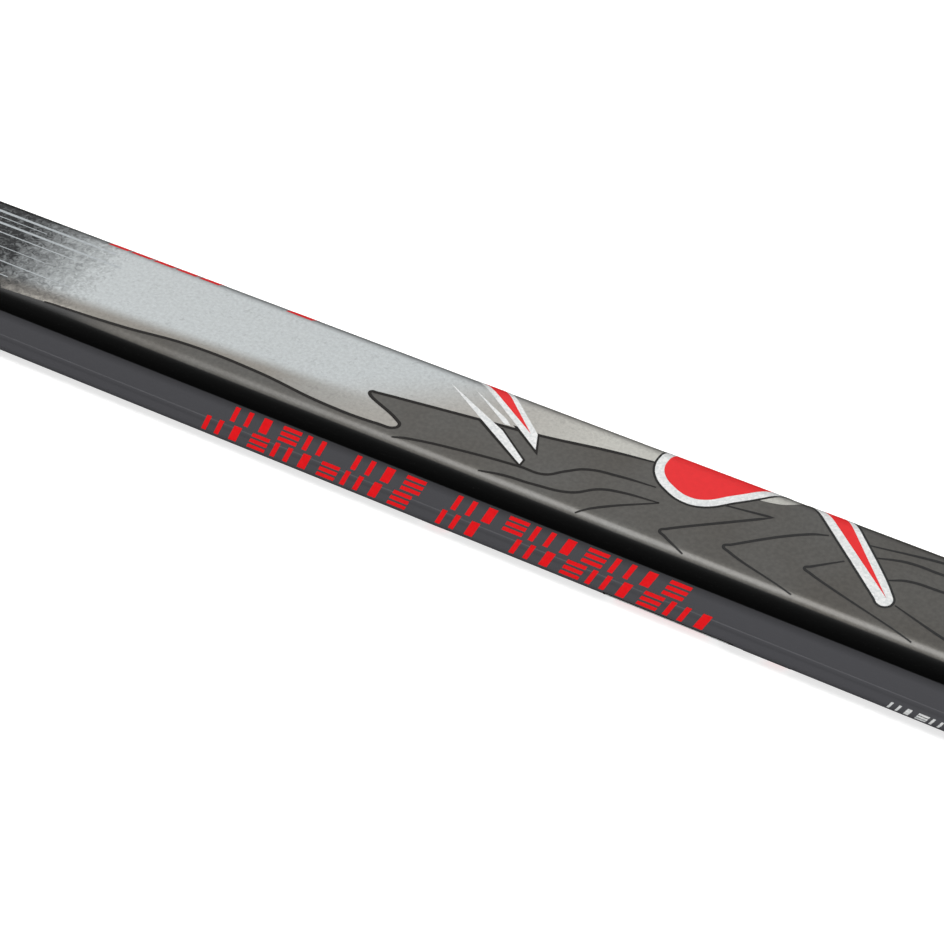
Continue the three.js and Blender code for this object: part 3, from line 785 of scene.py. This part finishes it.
flange_end = cap_low.x + CAP_FLANGE
cap_stations = [(flange_end, PLUG_GROW - PLUG_WALL), (cap_high.x, PLUG_GROW - PLUG_WALL)]
cap_stations += [(cap_high.x, PLUG_GROW), (flange_end, PLUG_GROW), (flange_end, -EDGE_BREAK)]
cap_stations += [(flange_end - EDGE_BREAK, 0)]
cap_stations += rim(cap_low.x + RIM_RADIUS, 0, -1)
cap_stations += [(cap_low.x + depth * MM, grow * MM) for depth, grow in DISH]
finish_piece(
    "butt_cap_moulding", section_loft(cap_stations), cap_plastic(), ["butt_cap"],
)

# -------------------- joint wrap
# Two turns of thin carbon cloth laid over the seam between tube and hosel, sanded to soft
# edges and lacquered, so it shows as a low glossy band with a fine weave.

wrap_low, wrap_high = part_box("joint_wrap")
WRAP_INSIDE = 0.1 * MM
WRAP_OUTSIDE = 0.6 * MM
SANDED = ((0, 0.16), (0.4, 0.34), (1.2, 0.52))   # steps along and up the sanded edge
SANDED_LENGTH = 3 * MM
INSIDE_INSET = 0.4 * MM
TOW = 2 * MM


def carbon_twill(name, turn_degrees, roughness, coat, light, dark):
    """Two-by-two twill carbon cloth under resin, with its tows along an axis turned by
    `turn_degrees` in the stick's plane. The crossing tows' sheen is painted into the colour:
    the two directions are painted lighter and darker by turns, which draws diagonal steps,
    and each tow is painted lighter along its crown than at its sides."""
    twill = new_material(name)
    place = add(twill, "TexCoord", {}, out="Object")
    x, y, z = add(twill, "SeparateXYZ", {0: place}).node.outputs
    # the cloth folds over the edges, so on upright faces it runs on downwards
    normal = add(twill, "TexCoord", {}, out="Normal")
    _, _, up = add(twill, "SeparateXYZ", {0: normal}).node.outputs
    up = add(twill, "Math", {0: up}, operation="ABSOLUTE")
    flat = add(twill, "Math", {0: up, 1: 0.7}, operation="GREATER_THAN")
    around = add(twill, "Mix", {0: flat, 2: z, 3: y}, data_type="FLOAT")
    unfolded = add(twill, "CombineXYZ", {0: x, 1: around})
    turned = add(twill, "Mapping", {
        "Vector": unfolded, "Rotation": (0, 0, math.radians(turn_degrees)),
        "Scale": (1 / TOW, 1 / TOW, 1 / TOW),
    })
    u, v, _ = add(twill, "SeparateXYZ", {0: turned}).node.outputs
    column = add(twill, "Math", {0: u}, operation="FLOOR")
    row = add(twill, "Math", {0: v}, operation="FLOOR")
    step = add(twill, "Math", {0: column, 1: row}, operation="SUBTRACT")
    step = add(twill, "Math", {0: step, 1: 4.0}, operation="FLOORED_MODULO")
    over = add(twill, "Math", {0: step, 1: 1.5}, operation="LESS_THAN")
    across = add(twill, "Mix", {0: over, 2: u, 3: v}, data_type="FLOAT")
    crown = add(twill, "Math", {0: across, 1: 1.0}, operation="PINGPONG")
    crown = add(twill, "Math", {0: crown, 1: math.pi}, operation="MULTIPLY")
    crown = add(twill, "Math", {0: crown}, operation="SINE")
    # painted sheen: tows running one way are painted lighter than the other way, and each tow
    # lighter along its crown
    painted_sheen = add(twill, "Math", {0: over, 1: 0.6, 2: 0.2}, operation="MULTIPLY_ADD")
    painted_sheen = add(twill, "Math", {0: painted_sheen, 1: crown}, operation="MULTIPLY")
    colour = add(twill, "Mix", {0: painted_sheen, 6: dark, 7: light}, **COLOUR_MIX)
    relief = add(twill, "Bump", {"Height": crown, "Strength": 1.0, "Distance": 0.02 * MM})
    shader = add(twill, "BsdfPrincipled", {
        "Base Color": colour, "Roughness": roughness, "IOR": 1.5, "Coat Weight": coat,
        "Coat Roughness": 0.1, "Normal": relief,
    })
    add(twill, "OutputMaterial", {"Surface": shader})
    return twill


def soft_edge(x, away):
    """Stations up the wrap's sanded edge, which starts at x."""
    return [(x + away * run * MM, rise * MM) for run, rise in SANDED]


wrap_stations = soft_edge(wrap_low.x, 1)
wrap_stations += [
    (x, WRAP_OUTSIDE)
    for x in even_places(wrap_low.x + SANDED_LENGTH, wrap_high.x - SANDED_LENGTH, 4)
]
wrap_stations += soft_edge(wrap_high.x, -1)[::-1]
wrap_stations += [
    (x, WRAP_INSIDE)
    for x in even_places(wrap_high.x - INSIDE_INSET, wrap_low.x + INSIDE_INSET, 4)
]
finish_piece(
    "joint_wrap_sleeve", section_loft(wrap_stations, closed=True),
    carbon_twill("lacquered_carbon_twill", 45, 0.3, 1.0, "#3a3b3e", "#0c0c0d"), ["joint_wrap"],
)

# -------------------- blade shells
# The blade is two skins of carbon cloth moulded over foam cores and a rib, which meet at a
# fine parting line round the edge. The hosel is moulded in one with them. It curves up
# towards the toe and its face leans back.

BLADE_TURN = math.radians(45)
BLADE_LENGTH = 300 * MM
HEIGHT_HEEL = 58 * MM
HEIGHT_TOE = 68 * MM
HEEL_RADIUS = 45 * MM
THROAT_RADIUS = 70 * MM
TOE_TOP_LENGTH = 65 * MM
TOE_BOTTOM_LENGTH = 30 * MM
TOE_POINT_HEIGHT = 30 * MM
ROCKER_RISE = 4 * MM
HEEL_THICKNESS = 9.4 * MM
TOE_THICKNESS = 5.4 * MM
TOP_EDGE_THINNING = 1 * MM
EDGE_ROUNDING = 0.36
CURVE_RISE = 33 * MM
CURVE_POWER = 2.6
FACE_LOFT = math.radians(7.4)
BLADE_SKIN = 1.2 * MM
SEAM_HALF = 0.05 * MM
TOE_ANGLE = 86
EDGE_STEPS = 7
FACE_STEPS = 24

shell_low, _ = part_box("blade_shell_forehand")
JOINT_X = shell_low.x
HEEL_X = -cad_box[0][0]
heel = Vector((HEEL_X, -NECK_WIDTH / 2))
along = Vector((math.cos(BLADE_TURN), math.sin(BLADE_TURN)))
upward = Vector((-along.y, along.x))
turn_tangent = math.tan(BLADE_TURN / 2)
throat_s = -(HEIGHT_HEEL * math.cos(BLADE_TURN) - NECK_WIDTH) / math.sin(BLADE_TURN)
throat_start_x = (heel + along * throat_s + upward * HEIGHT_HEEL).x - THROAT_RADIUS * turn_tangent
throat_end_s = throat_s + THROAT_RADIUS * turn_tangent
heel_end_s = HEEL_RADIUS * turn_tangent
toe_bottom_s = BLADE_LENGTH - TOE_BOTTOM_LENGTH
toe_top_s = BLADE_LENGTH - TOE_TOP_LENGTH


def on_blade(s, h):
    return heel + along * s + upward * h


def round_arc(start, radius, angle):
    """Where an arc that leaves `start` along the shaft and turns left has got to."""
    return start + Vector((radius * math.sin(angle), radius * (1 - math.cos(angle))))


def curve_point(controls, t):
    """A point of the Bezier curve with those control points."""
    while len(controls) > 1:
        controls = [a.lerp(b, t) for a, b in zip(controls, controls[1:])]
    return controls[0]


def edge_pairs():
    """Pairs of points on the blade's outer and inner edges, from the joint to the toe."""
    pairs = []
    for x in even_places(JOINT_X, throat_start_x, 10)[:-1]:
        half = SHAFT_WIDTH / 2 - slim_at(x)[0]
        pairs.append((Vector((x, -half)), Vector((x, half))))
    straight = HEEL_X - heel_end_s - throat_start_x
    run = straight + HEEL_RADIUS * BLADE_TURN
    for t in even_places(0, 1, 24)[:-1]:
        bend = max(t * run - straight, 0) / HEEL_RADIUS
        start = Vector((throat_start_x + min(t * run, straight), heel.y))
        inner = Vector((throat_start_x, NECK_WIDTH / 2))
        pairs.append(
            (round_arc(start, HEEL_RADIUS, bend), round_arc(inner, THROAT_RADIUS, t * BLADE_TURN))
        )
    third = (toe_top_s - throat_end_s) / 3
    bottom = [
        on_blade(heel_end_s, 0), on_blade(BLADE_LENGTH / 2, 0),
        on_blade(toe_bottom_s, ROCKER_RISE),
    ]
    top = [
        on_blade(throat_end_s, HEIGHT_HEEL), on_blade(throat_end_s + third, HEIGHT_HEEL),
        on_blade(toe_top_s - third, HEIGHT_TOE), on_blade(toe_top_s, HEIGHT_TOE),
    ]
    for t in even_places(0, 1, 56)[:-1]:
        pairs.append((curve_point(bottom, t), curve_point(top, t)))
    for degrees in even_places(0, TOE_ANGLE, 26):
        forward = math.sin(math.radians(degrees))
        aside = math.cos(math.radians(degrees))
        pairs.append((
            on_blade(toe_bottom_s + TOE_BOTTOM_LENGTH * forward,
                     TOE_POINT_HEIGHT - (TOE_POINT_HEIGHT - ROCKER_RISE) * aside),
            on_blade(toe_top_s + TOE_TOP_LENGTH * forward,
                     TOE_POINT_HEIGHT + (HEIGHT_TOE - TOE_POINT_HEIGHT) * aside),
        ))
    return pairs


pairs = edge_pairs()
outline = [outer for outer, _ in pairs] + [inner for _, inner in reversed(pairs)]


def distance_to_outline(point):
    least = BLADE_LENGTH
    for a, b in zip(outline, outline[1:]):
        if min((point - a).length, (point - b).length) < least + 8 * MM:
            side = b - a
            t = min(max((point - a).dot(side) / side.length_squared, 0), 1)
            least = min(least, (point - a - side * t).length)
    return least


def blade_at(point):
    """The middle surface's height and the blade's thickness at a point of the plan."""
    s, h = (point - heel).dot(along), (point - heel).dot(upward)
    toeward = min(max(s / BLADE_LENGTH, 0), 1)
    face = HEEL_THICKNESS + (TOE_THICKNESS - HEEL_THICKNESS) * toeward
    face -= TOP_EDGE_THINNING * h / HEIGHT_TOE
    neck = SHAFT_DEPTH - 2 * slim_at(point.x)[1]
    thickness = neck + (face - neck) * smooth(s, -45 * MM, 60 * MM)
    lean = math.tan(FACE_LOFT) * h * smooth(s, -20 * MM, 90 * MM)
    return MID_Z + CURVE_RISE * toeward ** CURVE_POWER - lean, thickness


def edge_radius(thickness):
    return min(CORNER_RADIUS, EDGE_ROUNDING * thickness)


def half_thickness(point, thickness):
    radius = edge_radius(thickness)
    reach = min(max(radius - distance_to_outline(point), 0), radius)
    return thickness / 2 - radius + math.sqrt(max(radius ** 2 - reach ** 2, 0))


def blade_skin(side):
    """One skin of the blade, on the +Z side for 1 or the -Z side for -1: a grid laid over
    the plan, with a row at each pair of edge points and the parting line round its rim."""
    rows = []
    for outer, inner in pairs:
        across = inner - outer
        width = across.length
        _, thickness = blade_at(outer.lerp(inner, 0.5))
        radius = min(edge_radius(thickness), width * 0.3)
        turns = [math.pi / 2 * step / EDGE_STEPS for step in range(EDGE_STEPS + 1)]
        near = [radius * (1 - math.cos(t)) for t in turns]
        middle = even_places(radius, width - radius, FACE_STEPS)[1:-1]
        places = near + middle + [width - place for place in reversed(near)]
        row = []
        for place in places:
            point = outer + across * (place / width)
            height, thickness = blade_at(point)
            row.append((point, height, half_thickness(point, thickness)))
        first, last = row[0], row[-1]
        rows.append([(*first[:2], SEAM_HALF)] + row + [(*last[:2], SEAM_HALF)])
    rows.append([(point, height, SEAM_HALF) for point, height, _ in rows[-1]])
    bm = bmesh.new()
    columns = len(rows[0])
    bmesh.ops.create_grid(bm, x_segments=len(rows) - 1, y_segments=columns - 1, size=0.5)
    for v in bm.verts:
        point, height, half = rows[round((v.co.x + 0.5) * (len(rows) - 1))][
            round((v.co.y + 0.5) * (columns - 1))
        ]
        v.co = (point.x, point.y, height + side * half)
    if side < 0:
        bmesh.ops.reverse_faces(bm, faces=bm.faces[:])
    bm.normal_update()
    bmesh.ops.solidify(bm, geom=bm.faces[:], thickness=BLADE_SKIN)
    bmesh.ops.recalc_face_normals(bm, faces=bm.faces[:])
    return bm


satin_twill = carbon_twill("satin_carbon_twill", -45, 0.36, 0.35, "#4a4b4e", "#101011")
for name, side in (("forehand", 1), ("backhand", -1)):
    finish_piece(
        f"blade_skin_{name}", blade_skin(side), satin_twill,
        [f"blade_shell_{name}"], sharp_degrees=50,
    )

# -------------------- inside the stick
# The tenon joins tube and hosel, a foam block ahead of it stops the resin, and two foam
# cores with a carbon rib between them fill the blade. They keep the shapes of the CAD model.


# Rigid closed-cell foam: cream and chalky, its cut cells about half a millimetre across.
core_foam = grained(
    "closed_cell_core_foam", "TexVoronoi", {"Scale": 1 / (0.6 * MM)}, ("#efe9d8", "#cfc7b0"),
    0.08 * MM, {"Roughness": 0.9, "IOR": 1.45},
)


def give_material(material, *names):
    for name in names:
        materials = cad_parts[name].data.materials
        materials.clear()
        materials.append(material)


give_material(core_foam, "neck_core", "lower_core", "upper_core", "resin_stop")
give_material(
    carbon_twill("sanded_carbon_laminate", 0, 0.55, 0.0, "#3b3c3e", "#19191a"),
    "blade_rib", "blade_tenon",
)

# -------------------- camera, light and floor
# The stick lies on lit white acrylic, shot close with a long lens. A broad panel lights it from
# behind and overhead, and a low soft box fills the narrow side that faces the camera. Where a
# studio would lay black cards to keep the front corner's gloss dark, the sheet mirrors dark.

TARGET = Vector((0, -3.53 * MM, MID_Z))
AZIMUTH = math.radians(30.06)
ELEVATION = math.radians(42.77)
DISTANCE = 525.7 * MM
LENS = 95.6
FLOOR_HALF = 60   # metres, so that its rim lies far outside every view
FLOOR_DROP = 0.1 * MM
back = Vector((
    math.sin(AZIMUTH) * math.cos(ELEVATION),
    -math.cos(AZIMUTH) * math.cos(ELEVATION),
    math.sin(ELEVATION),
))
camera_data = bpy.data.cameras.new("camera")
camera_data.lens = LENS
camera_data.clip_start = 0.01
camera = bpy.data.objects.new("camera", camera_data)
camera.matrix_world = Matrix.Translation(TARGET + back * DISTANCE) @ (
    back.to_track_quat("Z", "Y").to_matrix().to_4x4()
)
bpy.context.scene.collection.objects.link(camera)
bpy.context.scene.camera = camera

floor_mesh = bmesh.new()
bmesh.ops.create_grid(floor_mesh, x_segments=1, y_segments=1, size=FLOOR_HALF)
bmesh.ops.translate(floor_mesh, vec=(0, 0, -FLOOR_DROP), verts=floor_mesh.verts)
floor_data = bpy.data.meshes.new("floor")
floor_mesh.to_mesh(floor_data)
floor_mesh.free()
floor = bpy.data.objects.new("floor", floor_data)
bpy.context.scene.collection.objects.link(floor)


# A white acrylic sheet lit from below, so that the stick's shadow is faint. The stick gets
# only a little of its light back, and its gloss sees the sheet as dark.
def lit_acrylic():
    sheet = new_material("lit_white_acrylic")
    paths = add(sheet, "LightPath", {}, out="Is Camera Ray").node.outputs
    seen, mirrored = paths["Is Camera Ray"], paths["Is Glossy Ray"]
    colour = add(sheet, "Mix", {0: seen, 6: "#7c7c7c", 7: "#c8c8c8"}, **COLOUR_MIX)
    colour = add(sheet, "Mix", {0: mirrored, 6: colour, 7: "#101010"}, **COLOUR_MIX)
    glow = add(sheet, "Math", {0: seen, 1: 0.65}, operation="MULTIPLY")
    shader = add(sheet, "BsdfPrincipled", {
        "Base Color": colour, "Roughness": 0.9, "Specular IOR Level": 0.0,
        "Emission Color": "#ffffff", "Emission Strength": glow,
    })
    add(sheet, "OutputMaterial", {"Surface": shader})
    return sheet


floor_data.materials.append(lit_acrylic())


BACKGROUND_LIGHT = 1.25   # seen by the camera only, above the floor's horizon


def studio_light():
    """Light by direction: dark in front, a bright strip overhead, a broad soft panel behind."""
    studio = bpy.data.worlds.new("studio")
    studio.use_nodes = True
    studio.node_tree.nodes.clear()
    ray = add(studio, "TexCoord", {}, out="Generated")
    x, y, z = add(studio, "SeparateXYZ", {0: ray}).node.outputs
    forward = add(studio, "Math", {0: y, 1: -1.0}, operation="MULTIPLY")
    round_x = add(studio, "Math", {0: z, 1: forward}, operation="ARCTAN2")
    degrees = add(studio, "Math", {0: round_x, 1: 180 / math.pi}, operation="MULTIPLY")
    panel = add(studio, "MapRange", {"Value": degrees, "From Min": 52, "From Max": 72,
                                     "To Min": 0.03}, **EASED)
    horizon = add(studio, "MapRange", {"Value": degrees, "From Min": 150, "From Max": 172,
                                       "To Min": 1.0, "To Max": 0.35}, **EASED)
    panel = add(studio, "Math", {0: panel, 1: horizon}, operation="MULTIPLY")
    # the panel is a little weaker towards its blade end
    weaker = add(studio, "MapRange", {"Value": x, "From Min": -0.36, "From Max": -0.06,
                                      "To Min": 1.0, "To Max": 0.6})
    panel = add(studio, "Math", {0: panel, 1: weaker}, operation="MULTIPLY")
    rise = add(studio, "MapRange", {"Value": degrees, "From Min": 68, "From Max": 84}, **EASED)
    fall = add(studio, "MapRange", {"Value": degrees, "From Min": 92, "From Max": 109,
                                    "To Min": 1.0, "To Max": 0.0}, **EASED)
    strip = add(studio, "Math", {0: rise, 1: fall}, operation="MULTIPLY")
    reach = add(studio, "MapRange", {"Value": x, "From Min": -0.52, "From Max": -0.34,
                                     "To Max": 6.2}, **EASED)
    total = add(studio, "Math", {0: strip, 1: reach, 2: panel}, operation="MULTIPLY_ADD")
    side = add(studio, "MapRange", {"Value": x, "From Min": 0.25, "From Max": 0.6,
                                    "To Max": 0.7}, **EASED)
    total = add(studio, "Math", {0: total, 1: side}, operation="MAXIMUM")
    above = add(studio, "MapRange", {"Value": z, "From Min": -0.02, "From Max": 0.02}, **EASED)
    total = add(studio, "Math", {0: total, 1: above}, operation="MULTIPLY")
    seen = add(studio, "LightPath", {}, out="Is Camera Ray")
    strength = add(studio, "Mix", {0: seen, 2: total, 3: BACKGROUND_LIGHT}, data_type="FLOAT")
    light = add(studio, "Background", {"Strength": strength})
    add(studio, "OutputWorld", {"Surface": light})
    return studio


bpy.context.scene.world = studio_light()

FILL_WIDTH = 2.4
FILL_HEIGHT = 0.25
FILL_WATTS = 26
fill_data = bpy.data.lights.new("front_soft_box", "AREA")
fill_data.shape = "RECTANGLE"
fill_data.size = FILL_WIDTH
fill_data.size_y = FILL_HEIGHT
fill_data.energy = FILL_WATTS
fill = bpy.data.objects.new("front_soft_box", fill_data)
fill.visible_camera = False
fill.visible_glossy = False
towards_fill = Vector((0.15, -1.25, 0.15))
fill.matrix_world = Matrix.Translation(TARGET + towards_fill) @ (
    towards_fill.to_track_quat("Z", "Y").to_matrix().to_4x4()
)
bpy.context.scene.collection.objects.link(fill)

bpy.context.scene.view_settings.view_transform = "Standard"
